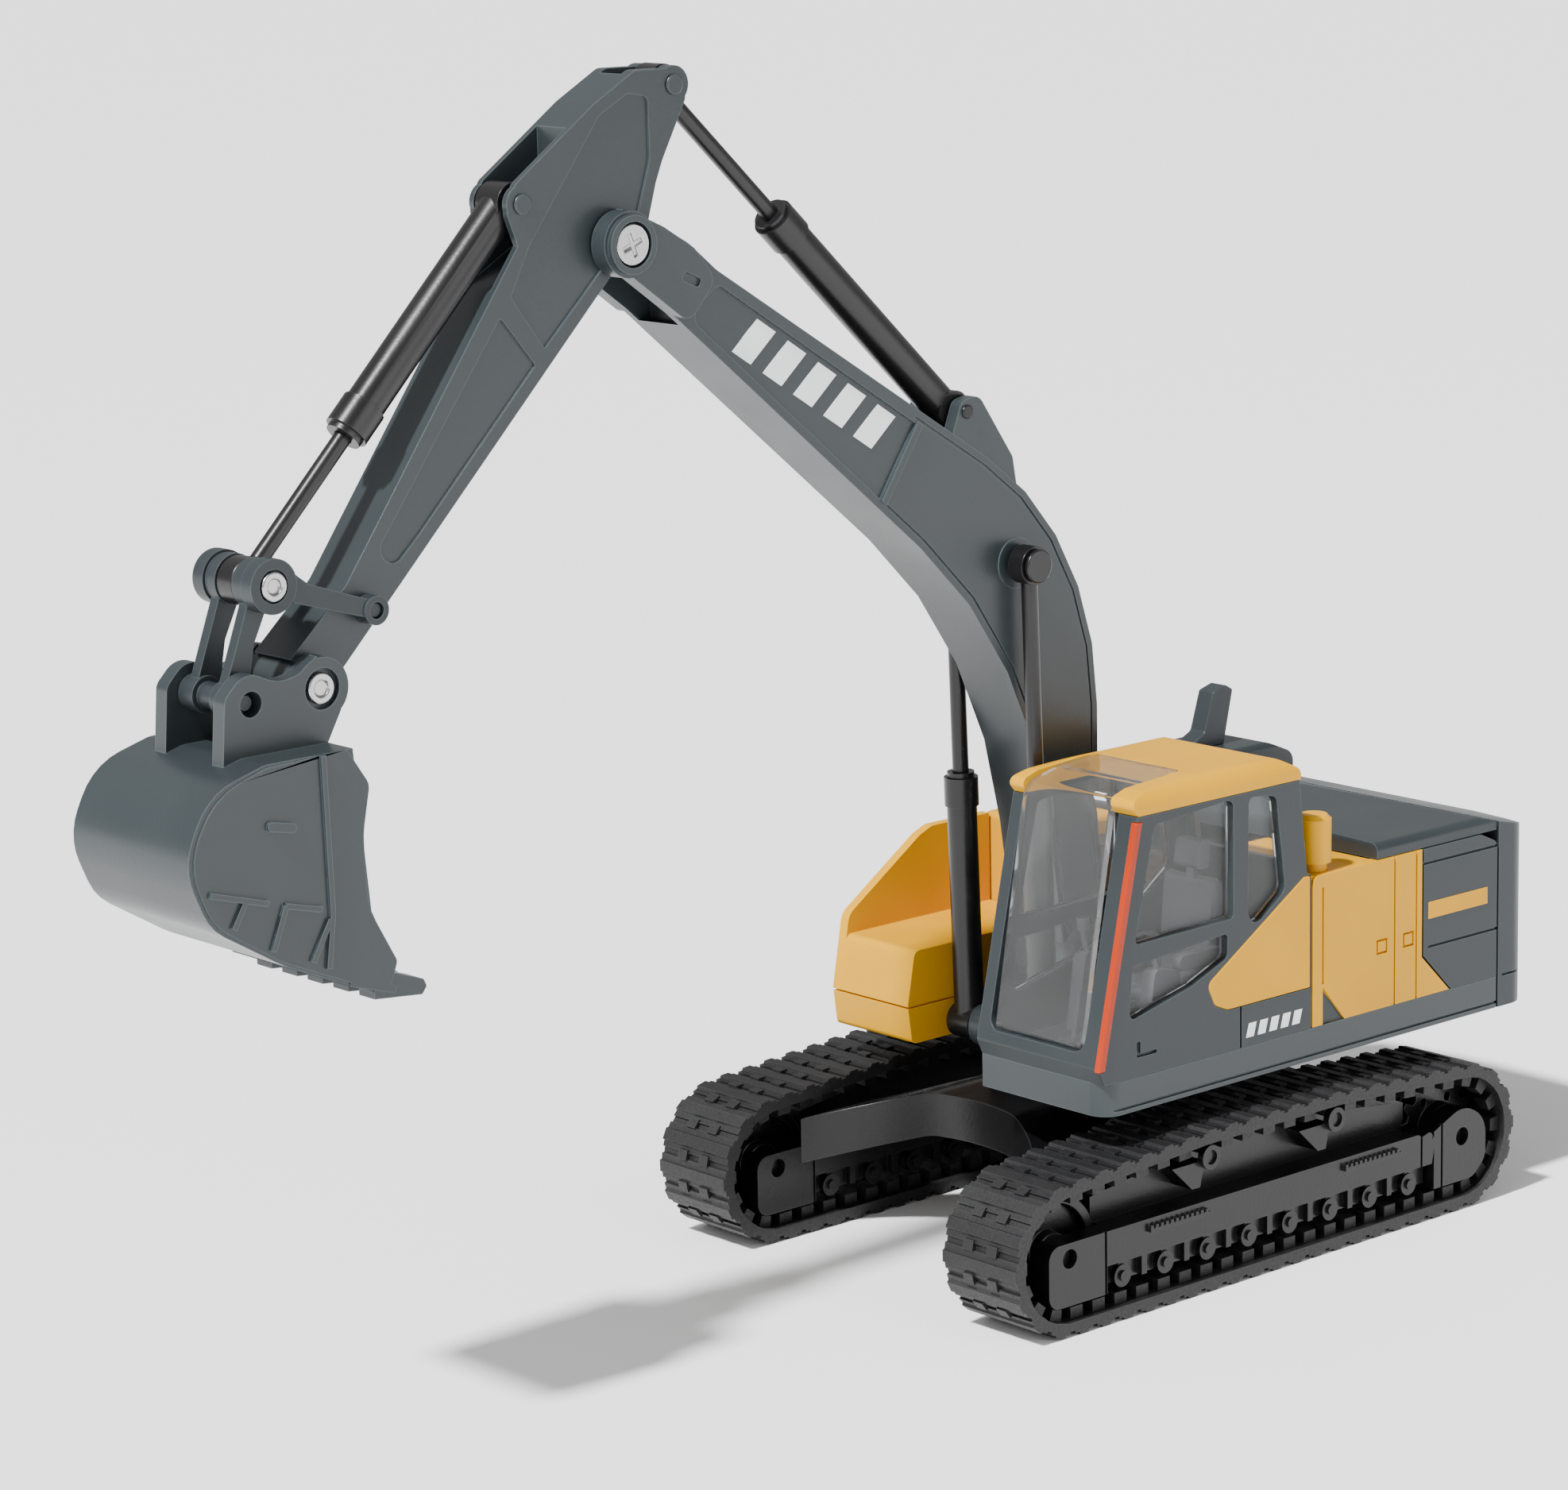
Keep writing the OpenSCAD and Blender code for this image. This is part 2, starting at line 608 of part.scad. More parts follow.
module cab_frame() {
    x0 = cab_in_x;
    x1 = house_half_w;
    difference() {
        slab(x0, x1) polygon(rounded(cab_side));
        // room inside
        slab(x0 + cab_wall, x1 - cab_wall)
            polygon(rounded([[-22.6, deck_top + 1.4, 0], [7.5, deck_top + 1.4, 0], [7.5, 44, 0], [6, 60, 0],
                [-16.4, 60, 0], [-23.4, 28.8, 0]]));
        // windscreen opening
        thick(-40, -10)
            polygon(rounded([[x0 + 1.7, 29.4, 1.5], [x1 - 2.9, 29.4, 1.5], [x1 - 2.9, 60, 0],
                [x0 + 1.7, 60, 0]]));
        // side windows, on both sides
        slab(x0 - 1, x1 + 1) {
            polygon(rounded(door_window));
            polygon(rounded(lower_window));
            polygon(rounded(rear_window));
        }
        // rear window
        thick(4, 20)
            polygon(rounded([[x0 + 3, 45.8, 1], [x1 - 3, 45.8, 1], [x1 - 3, 53.6, 1], [x0 + 3, 53.6, 1]]));
        // recess for the side panel, door seam and grab handle
        slab(x1 - 0.5, x1 + 1) polygon(rounded(side_inset));
        block([x1 - 0.3, -2.8, deck_top - 1], [x1 + 1, -2.5, 31]);
        slab(x1 - 0.35, x1 + 1)
            polygon(rounded([[-19.4, 28.4, 0.2], [-16.2, 28.4, 0.2], [-16.2, 28.8, 0.2], [-18.8, 28.8, 0],
                [-18.8, 30.2, 0.2], [-19.4, 30.2, 0.2]]));
        // seat of the orange rail
        slab(x1 - rail_t - 0.05, x1 + 1) polygon(rail_outline(0.05));
        // seat of the roof moulding
        slab(x0 - 1, x1 + 1) polygon([[-30, 55.6], [20, 55.6], [20, 60], [-30, 60]]);
    }
}

rail_t = 0.7;

// Outline of the rail on the left front pillar, grown by g. It stands a little proud of the pillar.
function rail_outline(g) = [[-25.5 - g, 27.8 - g], [-24.5 + g, 27.8 - g], [-18.4 + g, 55 + g],
    [-19.4 - g, 55 + g]];

module cab_rail()
    slab(house_half_w - rail_t, house_half_w + 0.15) polygon(rail_outline(0));

module cab_side_panel()
    slab(house_half_w - 0.45, house_half_w + 0.05) polygon(inset(rounded(side_inset), 0.05));

module cab_roof() {
    x0 = cab_in_x;
    x1 = house_half_w;
    difference() {
        intersection() {
            slab(x0, x1) polygon(rounded(roof_outline));
            thick(-40, 20)
                polygon(rounded([[x0, 50, 0], [x1, 50, 0], [x1, cab_top, 2.2], [x1 - 3, cab_top + 0.2, 4],
                    [x0 + 3, cab_top + 0.2, 4], [x0, cab_top, 2.2]]));
        }
        // skylight opening and hollow underside
        plan(40, 70)
            polygon(rounded([[x0 + 2.2, -30, 0], [x1 - 3.6, -30, 0], [x1 - 3.6, -8, 1.5],
                [x0 + 2.2, -8, 1.5]]));
        block([x0 + 1.6, -7, 50], [x1 - 1.6, 5.6, 57.2]);
    }
}

// One clear moulding: windscreen that bends over into the skylight.
module cab_glazing() {
    x0 = cab_in_x + 2.3;
    x1 = house_half_w - 3.7;
    outside = [[-24.6, 29.5, 0.5], [-19.6, 57, 2.6], [-14, cab_top - 0.2, 4], [-8.1, cab_top + 0.1, 0]];
    slab(x0, x1) polygon(rounded(concat(outside, [[-8.1, cab_top - 0.8, 0], [-14, cab_top - 1.1, 3],
        [-18.7, 56.2, 1.8], [-23.7, 29.5, 0]])));
}

module cab_side_glass() {
    x = house_half_w - 0.9;
    for (side = [[x - 0.5, x], [cab_in_x + 0.5, cab_in_x + 1]])
        slab(side[0], side[1]) {
            polygon(inset(rounded(door_window), 0.02));
            polygon(inset(rounded(lower_window), 0.02));
            polygon(inset(rounded(rear_window), 0.02));
        }
}

module seat() {
    base = deck_top + cab_floor_t;
    back_y = -2;                            // foot of the backrest
    translate([seat_x, back_y, base]) {
        // cushion and backrest
        slab(-3.75, 3.75) polygon(rounded([[-8, 5.4, 1], [0.2, 5.4, 0.5], [1.2, 16.4, 0.7], [2.9, 16.8, 0.7],
            [3, 4, 1.5], [-7.6, 3.2, 1]]));
        // headrest on its post
        slab(-1.9, 1.9)
            polygon(rounded([[0.7, 17.6, 0.6], [2.6, 17.6, 0.6], [2.9, 21, 0.7], [1.3, 21, 0.7]]));
        slab(-0.6, 0.6) polygon([[1.4, 15.5], [2.2, 15.5], [2.2, 18.4], [1.5, 18.4]]);
        // pedestal and armrests
        slab(-2, 2) polygon([[-6, 0], [2, 0], [1, 4], [-5, 4]]);
        both_sides() slab(4.3, 5.6)
            polygon(rounded([[-6, 7.6, 0.6], [1.2, 7.6, 0], [1.2, 9.4, 0.8], [-6, 9.4, 0.8]]));
        both_sides() block([3.4, -0.6, 5.6], [5, 0.8, 8]);
    }
}

module console() {
    base = deck_top + cab_floor_t;
    pedal_y = -17.6;
    both_sides_of(seat_x) {
        slab(4.4, 6.2)
            polygon(rounded([[-14, base, 0], [-8.6, base, 0], [-8.6, base + 8, 0.6],
                [-12.6, base + 9, 0.8]]));
        translate([5.3, -11.4, base + 8]) rotate([12, 0, 0]) cylinder(r = 0.35, h = 3.6);
        translate([5.3, -12.1, base + 11.4]) cylinder(r = 0.7, h = 1.4);
    }
    both_sides_of(seat_x) {
        translate([1.4, pedal_y, base - cut]) rotate([-10, 0, 0]) cylinder(r = 0.3, h = 6);
        block([0.6, pedal_y - 1.6, base], [2.2, pedal_y + 0.4, base + 0.6]);
    }
}

// ---------- digging front ----------

boom_outline = rounded([[1, 33, 0], [-1.3, 48, 25], [-1.3, 82.3, 36], [-57.5, 117.5, 3], [-61.2, 120.6, 4],
    [-65.8, 123.2, 4], [-70.1, 124.9, 0], [-70.1, 118.7, 0], [-12.05, 70.06, 57], [-7, 35, 0]]);

// Fine groove beside the boom's edges, from the weld to the foot.
module boom_edge_groove()
    intersection() {
        difference() {
            polygon(inset(boom_outline, 0.8));
            polygon(inset(boom_outline, 1.1));
        }
        polygon([[-28.6, 100], [-34.4, 88], [-20, 36], [2, 36], [2, 100]]);
    }

// Outline of the sunk panel in the boom's side, between the tip and the weld.
boom_panel = [[-57.3, 115.9, 1], [-61.5, 112.9, 1.5], [-34.6, 90.2, 0], [-29.2, 98, 0]];

module boom() {
    on_front() difference() {
        union() {
            slab(-boom_half_w, boom_half_w) polygon(boom_outline);
            rod_x(boom_foot, 4, -boom_half_w, boom_half_w);
            // forked tip
            both_sides() {
                slab(0, cheek_out_x)
                    polygon(rounded([[-58.6, 116.6, 1.5], [-61.4, 120.2, 3], [-65.8, 122.9, 4],
                        [-70.1, 124.6, 0], [-70.1, 118, 0], [-62.4, 112.4, 1.5]]));
                rod_x(arm_pivot, 3.5, 0, cheek_out_x);
                rod_x(arm_pivot, 3.1, 0, cheek_out_x + 0.6);
            }
            // bracket of the arm cylinder
            both_sides() slab(arm_barrel_r + 0.3, arm_barrel_r + 1.9)
                polygon(rounded([[-23.6, 95.5, 0], [-22, 99.6, 1.3], [-19.4, 100.2, 1.6], [-14.2, 92.6, 1],
                    [-13.4, 88, 0], [-22, 92, 0]]));
            // boss of the boom cylinders
            rod_x(boom_cylinder_top, 2.9, -boom_half_w - 0.15, boom_half_w + 0.15);
        }
        // slot for the arm and bore of its screw
        slab(-cheek_in_x, cheek_in_x) polygon([[-76, 112], [-60.4, 112], [-60.4, 130], [-76, 130]]);
        rod_x(arm_pivot, 9, -cheek_in_x, cheek_in_x);
        rod_x(arm_pivot, 1.5, -9, 9);
        rod_x(arm_pivot, 2.4, cheek_out_x - 0.5, 9);
        rod_x(arm_pivot, 2.4, -9, -cheek_out_x + 0.5);
        rod_x(boom_foot, 1.1 + run_gap, -9, 9);
        rod_x(boom_cylinder_top, pin_r, -9, 9);
        rod_x(arm_cylinder_foot, pin_r, -9, 9);
        // well for the arm cylinder's foot
        rod_x(arm_cylinder_foot, 3.2, -arm_barrel_r - 0.3, arm_barrel_r + 0.3);
        // sunk side panels, edge grooves and a pressed mark on each cheek
        both_sides() {
            slab(boom_half_w - 0.3, boom_half_w + 0.5) polygon(rounded(boom_panel));
            slab(boom_half_w - 0.2, boom_half_w + 0.1) boom_edge_groove();
            slab(cheek_out_x - 0.3, cheek_out_x + 1)
                polygon(rounded([[-63.3, 117, 0.4], [-61, 116, 0.4], [-60.6, 116.9, 0.4],
                    [-62.9, 117.9, 0.4]]));
        }
    }
    // weld across each side
    on_front() both_sides() slab(boom_half_w - 0.2, boom_half_w + 0.2)
        polygon([[-28.9, 98.2], [-34.5, 90], [-33.8, 89.5], [-28.2, 97.7]]);
}

// Pin along X with a low head at each end.
module headed_pin(at, r, half_len, head_r, head_h) {
    rod_x(at, r, -half_len, half_len);
    both_sides() rod_x(at, head_r, half_len - head_h, half_len);
}

module boom_foot_pin()
    on_front() rod_x(boom_foot, 1.1, -boom_half_w - 1.7, boom_half_w + 1.7);

module boom_cylinder_foot_pin()
    on_front() headed_pin(boom_cylinder_foot, pin_r, boom_cylinder_x + boom_foot_half_w + 0.45, 1.3, 0.35);

module boom_cylinder_top_pin() {
    head_x = boom_cylinder_x + boom_eye_half_w + face_gap;
    on_front() headed_pin(boom_cylinder_top, pin_r, head_x + 0.6, 1.9, 0.6);
}

module arm_cylinder_base_pin()
    on_front() rod_x(arm_cylinder_foot, pin_r, -arm_barrel_r - 2.2, arm_barrel_r + 2.2);

module arm_pivot_screw()
    on_front() difference() {
        union() {
            rod_x(arm_pivot, 1.45, -cheek_out_x + 0.1, cheek_out_x - 0.1);
            both_sides() rod_x(arm_pivot, 2.2, cheek_out_x - 0.45, cheek_out_x + 0.45);
        }
        both_sides() for (a = [20, 110])
            translate([cheek_out_x + 0.1, arm_pivot[0], arm_pivot[1]]) rotate([a, 0, 0])
            block([0, -1.3, -0.25], [1, 1.3, 0.25]);
    }

// A cylinder's barrel: foot eye at the origin, open end towards +Z.
module barrel(r, length, foot_r, foot_half_w, bore_r) {
    difference() {
        union() {
            translate([0, 0, 1]) cylinder(r = r, h = length - 1.8);
            translate([0, 0, length - 4]) cylinder(r = r + 0.25, h = 3.4);
            translate([0, 0, length - 0.8]) cylinder(r = r - 0.15, h = 0.8);
            rod_x([0, 0], foot_r, -foot_half_w, foot_half_w);
        }
        translate([0, 0, foot_r + 1]) cylinder(r = bore_r, h = length);
        rod_x([0, 0], pin_r + run_gap, -9, 9);
    }
}

// A cylinder's rod: starts inside the barrel and carries an eye at its head.
module rod(start, length, eye_r, eye_half_w, eye_bore_r)
    difference() {
        union() {
            translate([0, 0, start]) cylinder(r = rod_r, h = length - start);
            translate([0, 0, length]) rod_x([0, 0], eye_r, -eye_half_w, eye_half_w);
        }
        translate([0, 0, length]) rod_x([0, 0], eye_bore_r, -9, 9);
    }

boom_cylinder_len = norm(boom_cylinder_top - boom_cylinder_foot);
arm_cylinder_len = norm(arm_cylinder_head - arm_cylinder_foot);
bucket_cylinder_len = norm(link_head - bucket_cylinder_foot);
rod_bore_r = rod_r + run_gap;

module boom_barrel(side)
    translate([front_x + side * boom_cylinder_x, 0, 0]) aim(boom_cylinder_foot, boom_cylinder_top)
        barrel(boom_barrel_r, 30, 2.1, boom_foot_half_w, rod_bore_r);

module boom_rod(side)
    translate([front_x + side * boom_cylinder_x, 0, 0]) aim(boom_cylinder_foot, boom_cylinder_top)
        rod(8.5, boom_cylinder_len, 2.2, boom_eye_half_w, boom_eye_bore_r);

module arm_barrel()
    on_front() aim(arm_cylinder_foot, arm_cylinder_head)
        barrel(arm_barrel_r, 34.5, 2.2, arm_barrel_r, rod_bore_r);

module arm_rod()
    on_front() aim(arm_cylinder_foot, arm_cylinder_head)
        rod(8, arm_cylinder_len, 2.1, 1.5, arm_eye_bore_r);

module bucket_barrel()
    on_front() aim(bucket_cylinder_foot, link_head)
        barrel(arm_barrel_r, 30.5, 2.2, 1.8, rod_bore_r);

module bucket_rod()
    on_front() aim(bucket_cylinder_foot, link_head)
        rod(8, bucket_cylinder_len, 2.5, 1.3, bucket_eye_bore_r);

// Side outline of the arm.
arm_outline = [[-61, 138.8, 1.6], [-60.2, 135.6, 1], [-64.2, 128.3, 12], [-66.4, 121, 3], [-71.1, 117.8, 0],
    [-107.6, 81.4, 0], [-113.6, 83.6, 0], [-106.4, 90.1, 0], [-83.1, 122.1, 0], [-84.4, 125.4, 1.2],
    [-83.2, 128.4, 1], [-72.6, 135.8, 3], [-67, 138.9, 1.5]];
// Sunk panels in its sides, above and below the weld.
arm_upper_panel = [[-84.2, 117, 0.3], [-80, 111.3, 0.3], [-72.6, 118.3, 0], [-67.6, 122.4, 2],
    [-65.3, 129.6, 3], [-65.4, 136.1, 1], [-68, 136.6, 1], [-71.9, 134.6, 2], [-81.6, 122, 3]];
arm_lower_panel = [[-85.7, 115, 0.3], [-81.3, 109.7, 0.3], [-96.9, 94.2, 3], [-100.6, 90.9, 1.5],
    [-102.2, 93.2, 1.5]];

module arm() {
    on_front() difference() {
        union() {
            slab(-arm_half_w, arm_half_w) polygon(rounded(arm_outline));
            rod_x(bucket_pivot, 2.9, -ear_in_x + face_gap, ear_in_x - face_gap);
            rod_x(arm_pivot, 3.2, -arm_half_w, arm_half_w);
            rod_x(bucket_cylinder_foot, 2, -arm_half_w, arm_half_w);
            rod_x(arm_cylinder_head, 2, -arm_half_w, arm_half_w);
        }
        // fork for the bucket barrel's foot, open along the back of the arm
        slab(-arm_barrel_r - 0.25, arm_barrel_r + 0.25)
            polygon(rounded([[-94, 112, 0], [-86.5, 117.5, 0], [-78.6, 122, 3.5], [-75.8, 130, 3],
                [-75.8, 140, 0], [-94, 140, 0]]));
        // fork for the arm rod's eye
        slab(-1.7, 1.7)
            polygon(rounded([[-55, 142, 0], [-68, 142, 0], [-67.4, 135, 2.5], [-62, 132, 2], [-55, 130, 0]]));
        rod_x(arm_pivot, 1.5 + run_gap, -9, 9);
        rod_x(bucket_pivot, 1.2 + run_gap, -9, 9);
        rod_x(bucket_cylinder_foot, pin_r, -9, 9);
        rod_x(arm_cylinder_head, pin_r, -9, 9);
        rod_x(guide_pivot, pin_r, -9, 9);
        both_sides() slab(arm_half_w - 0.25, arm_half_w + 1) {
            polygon(rounded(arm_upper_panel));
            polygon(rounded(arm_lower_panel));
        }
    }
}

module arm_rod_pin()
    on_front() headed_pin(arm_cylinder_head, pin_r, arm_half_w + 0.3, 1.1, 0.29);

module bucket_cylinder_pin()
    on_front() headed_pin(bucket_cylinder_foot, pin_r, arm_half_w + 0.3, 1.1, 0.29);

module guide_link_pin()
    on_front() rod_x(guide_pivot, pin_r, -arm_half_w - 1.5, arm_half_w + 1.5);

guide_in_x = arm_half_w + face_gap;
guide_out_x = 4.8;
eye_in_x = 1.45;        // H-link's head eyes, between the rod eye and the guide links
eye_out_x = guide_in_x - face_gap;

// Side outline of one guide link: a slender bar that flares at the rivet.
guide_outline = [link_head + [1.8, 1.6], link_head + [4.3, -0.3], guide_pivot + [0.27, 0.85],
    guide_pivot + [-0.27, -0.85], link_head + [2.5, -2]];

module guide_links()
    on_front() difference() {
        both_sides() {
            slab(guide_in_x, guide_in_x + 1.5) polygon(guide_outline);
            rod_x(link_head, 2.8, guide_in_x, guide_out_x + 0.2);
            rod_x(guide_pivot, 1.5, guide_in_x, guide_in_x + 1.7);
        }
        rod_x(link_head, rivet_r, -9, 9);
        rod_x(guide_pivot, pin_r + run_gap, -9, 9);
        both_sides() rod_x(link_head, 1.7, guide_out_x - 0.3, 9);
    }

module link_rivet()
    on_front() difference() {
        union() {
            rod_x(link_head, rivet_r, -guide_out_x, guide_out_x);
            both_sides() rod_x(link_head, 1.5, guide_out_x - 0.25, guide_out_x + 0.4);
        }
        both_sides() rod_x(link_head, 0.8, guide_out_x, 9);
    }

h_leg = [link_head + [-1.3, 0], link_head + [1.2, -0.6], bucket_link_pivot + [2.6, 5.2],
    bucket_link_pivot + [1.6, 0], bucket_link_pivot + [-1.3, 0.4]];

module h_link()
    on_front() difference() {
        union() {
            both_sides() {
                rod_x(link_head, 2.6, eye_in_x, eye_out_x);
                slab(eye_in_x + 0.3, eye_out_x) polygon(h_leg);
                rod_x(bucket_link_pivot, 1.9, eye_in_x, ear_in_x - face_gap);
            }
            rod_x(bucket_link_pivot, 1.35, -eye_in_x - 0.1, eye_in_x + 0.1);
            // stub pins that float in the ear holes
            rod_x(bucket_link_pivot, 0.75, -ear_out_x + 1, ear_out_x - 1);
        }
        rod_x(link_head, rivet_r + run_gap, -9, 9);
    }

// Side outline of the bucket, from the mouth's upper corner round the back to the lip.
bucket_shell = [[-111.4, 75.3, 0], [-122, 75.3, 3], [-128.9, 73.4, 7.5], [-132.2, 66.6, 6.5],
    [-129.4, 60, 6], [-121, 54.9, 9], [-109.6, 49.8, 0], [-109.2, 50.8, 0]];
side_plate = [[-112.2, 75.3, 0], [-122, 75, 3], [-128.4, 73, 8], [-131.6, 66.6, 6.5], [-129.1, 60.3, 6],
    [-121, 55.2, 8], [-110.6, 50.6, 0], [-107.8, 50.6, 0], [-107, 52.8, 0.8], [-110.4, 59, 8],
    [-110.6, 66.5, 8], [-109.6, 71.4, 1.5]];
ear_outline = [[-124.2, 73.5, 0], [-123.6, 81.4, 1.5], [-121, 84, 2.6], [-116, 81.5, 5], [-112.4, 84.2, 0],
    [-109.6, 78.4, 0], [-112.4, 73.5, 0]];

// Strip of an embossed rib between two [y, z] points.
module strip(from, to) {
    rib_w = 0.6;
    across = [-heading(from, to).y, heading(from, to).x] * rib_w / 2;
    polygon([from - across, to - across, to + across, from + across]);
}

module bucket() {
    w = bucket_half_w;
    outside = rounded(bucket_shell);
    on_front() {
        difference() {
            union() {
                slab(-w, w) polygon(outside);
                both_sides() slab(ear_in_x, ear_out_x) polygon(rounded(ear_outline));
                both_sides() rod_x(bucket_pivot, 3.2, ear_in_x, ear_out_x);
            }
            // scoop
            slab(-w + 0.9, w - 0.9)
                polygon(rounded([[-105, 74.3, 0], [-121.8, 74.2, 2.2], [-128.3, 72.5, 6.8],
                    [-131.1, 66.6, 5.6], [-128.7, 60.9, 5.2], [-120.6, 56, 8], [-107, 50.4, 0]]));
            rod_x(bucket_pivot, 1.2, -9, 9);
            both_sides() rod_x(bucket_pivot, 2.1, ear_out_x - 0.7, 9);
            rod_x(bucket_link_pivot, ear_bore_r, -9, 9);
        }
        // side plates with a scalloped front edge, and their ribs
        both_sides() {
            slab(w - 0.9, w + 0.15) polygon(rounded(side_plate));
            slab(w, w + 0.5) {
                // upright rib, wear ribs in the lower corner and a small lug
                strip([-115.3, 75.2], [-114.9, 59]);
                strip([-114.9, 59.2], [-115.6, 53.6]);
                strip([-129.4, 63.5], [-122.6, 61.5]);
                strip([-120.5, 60.9], [-116.2, 59.8]);
                for (leg = [[[-125.3, 62.2], [-126.8, 59.6]], [[-120.5, 60.9], [-122.2, 56.6]],
                    [[-115.2, 58.6], [-117.5, 54.6]]])
                    strip(leg[0], leg[1]);
                polygon(rounded([[-122.3, 68.7, 0.4], [-118.9, 68, 0.4], [-118.9, 69, 0.4],
                    [-122.3, 69.7, 0.4]]));
            }
        }
        // cutting edge and teeth
        slab(-w - 0.15, w + 0.15) polygon([[-113, 51.2], [-107.4, 49.5], [-107.2, 50.2], [-112.6, 52.4]]);
        for (i = [-2 : 2]) slab(i * (w - 1.2) / 2 - 1.3, i * (w - 1.2) / 2 + 1.3)
            polygon(rounded([[-110, 49.3, 0], [-104, 48.7, 0.3], [-103.4, 49.5, 0.3], [-103.8, 50.3, 0.3],
                [-108.2, 51.9, 0.4], [-110, 51.6, 0]]));
    }
}

module bucket_rivet()
    on_front() difference() {
        union() {
            rod_x(bucket_pivot, 1.15, -ear_out_x + 0.7, ear_out_x - 0.7);
            both_sides() rod_x(bucket_pivot, 1.6, ear_out_x - 0.7, ear_out_x - 0.1);
        }
        both_sides() rod_x(bucket_pivot, 0.85, ear_out_x - 0.4, 9);
    }

// ---------- nodes ----------

color(black) chassis();
color(black) translate([track_x, 0, 0]) track_frame();  // track_frame_left
color(black) right_track_frame();  // track_frame_right
color(charcoal) translate([track_x, 0, 0]) track();  // track_left
color(charcoal) translate([-track_x, 0, 0]) track();  // track_right
color(black) translate([track_x, -axle_y, axle_z]) idler();  // idler_left
color(black) translate([-track_x, -axle_y, axle_z]) idler();  // idler_right
color(black) translate([track_x, axle_y, axle_z]) sprocket();  // sprocket_left
color(black) translate([-track_x, axle_y, axle_z]) sprocket();  // sprocket_right
color(black) axle_pins();
color(slate) deck();
color(silver) slew_screw();
color(black) house_core();
color(yellow) left_side_panel();
color(yellow) right_side_panel();
color(slate) rear_panel();  // left_rear_panel
color(slate) mirror([1, 0, 0]) rear_panel();  // right_rear_panel
color(slate) engine_hood();
color(slate) radiator_cover();
color(slate) counterweight();
color(slate) exhaust();
color(yellow) pre_cleaner();
color(yellow) tool_box();
color(yellow) fuel_tank();
color(slate) cab_frame();
color(yellow) cab_roof();
color(clear) cab_glazing();
color(clear) cab_side_glass();
color(orange) cab_rail();
color(yellow) cab_side_panel();
color(black) seat();
color(black) console();
color(black) boom_foot_pin();
color(black) boom_cylinder_foot_pin();
color(slate) boom();
color(black) boom_cylinder_top_pin();
color(black) arm_cylinder_base_pin();
color(silver) arm_pivot_screw();
color(black) boom_barrel(1);  // boom_barrel_left
color(black) boom_barrel(-1);  // boom_barrel_right
color(black) boom_rod(1);  // boom_rod_left
color(black) boom_rod(-1);  // boom_rod_right
color(black) arm_barrel();
color(black) arm_rod();
color(black) bucket_barrel();
color(black) bucket_rod();
color(slate) arm();
color(black) arm_rod_pin();
color(black) bucket_cylinder_pin();
color(black) guide_link_pin();
color(slate) guide_links();
color(silver) link_rivet();
color(slate) h_link();
color(slate) bucket();
color(silver) bucket_rivet();
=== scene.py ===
"""Looks for the toy excavator: camera, studio, materials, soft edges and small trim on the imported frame."""
import json
import math

import bmesh
import bpy
from mathutils import Matrix, Vector


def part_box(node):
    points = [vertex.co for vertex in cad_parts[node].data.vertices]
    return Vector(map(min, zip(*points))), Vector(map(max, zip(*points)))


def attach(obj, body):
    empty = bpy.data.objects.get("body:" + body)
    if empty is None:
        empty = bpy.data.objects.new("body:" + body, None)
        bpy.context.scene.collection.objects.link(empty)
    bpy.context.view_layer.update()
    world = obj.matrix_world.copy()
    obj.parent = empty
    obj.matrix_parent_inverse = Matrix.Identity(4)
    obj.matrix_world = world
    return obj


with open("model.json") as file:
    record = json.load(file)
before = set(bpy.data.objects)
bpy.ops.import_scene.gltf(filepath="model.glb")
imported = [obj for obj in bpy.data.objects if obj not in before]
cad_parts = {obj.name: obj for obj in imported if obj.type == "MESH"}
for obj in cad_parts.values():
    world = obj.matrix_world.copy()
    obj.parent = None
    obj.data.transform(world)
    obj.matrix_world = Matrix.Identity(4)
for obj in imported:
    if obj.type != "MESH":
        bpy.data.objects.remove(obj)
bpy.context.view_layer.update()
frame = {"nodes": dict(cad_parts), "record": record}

MM = 0.001
NODES = frame["nodes"]
SLOTS = {part["node"]: part["material_slot"] for part in frame["record"]["subparts"]}

CAMERA_AT = Vector((388.8, -388.8, 174.5)) * MM
CAMERA_TO = Vector((0.0, -46.8, 64.2)) * MM
CAMERA_ROLL = math.radians(-1.22)
CAMERA_FOV = math.radians(18.41)

FLOOR_REACH = 6.0
FLOOR_GAP = 0.05 * MM


# ---------- camera and studio ----------

def make_camera():
    """The camera stands off the left front corner, a little higher than the top of the arm."""
    ahead = (CAMERA_TO - CAMERA_AT).normalized()
    level_right = ahead.cross(Vector((0, 0, 1))).normalized()
    level_up = level_right.cross(ahead)
    right = math.cos(CAMERA_ROLL) * level_right + math.sin(CAMERA_ROLL) * level_up
    up = math.cos(CAMERA_ROLL) * level_up - math.sin(CAMERA_ROLL) * level_right
    turn = Matrix((right, up, -ahead)).transposed().to_4x4()
    data = bpy.data.cameras.new("camera")
    data.sensor_fit = "HORIZONTAL"
    data.angle = CAMERA_FOV
    data.clip_start = 0.01
    camera = bpy.data.objects.new("camera", data)
    camera.matrix_world = Matrix.Translation(CAMERA_AT) @ turn
    bpy.context.collection.objects.link(camera)
    bpy.context.scene.camera = camera


def area_light(name, at, aim, size, power):
    data = bpy.data.lights.new(name, "AREA")
    data.shape = "RECTANGLE"
    data.size, data.size_y = size
    data.energy = power
    light = bpy.data.objects.new(name, data)
    light.location = Vector(at)
    light.rotation_euler = (Vector(aim) - Vector(at)).to_track_quat("-Z", "Y").to_euler()
    bpy.context.collection.objects.link(light)


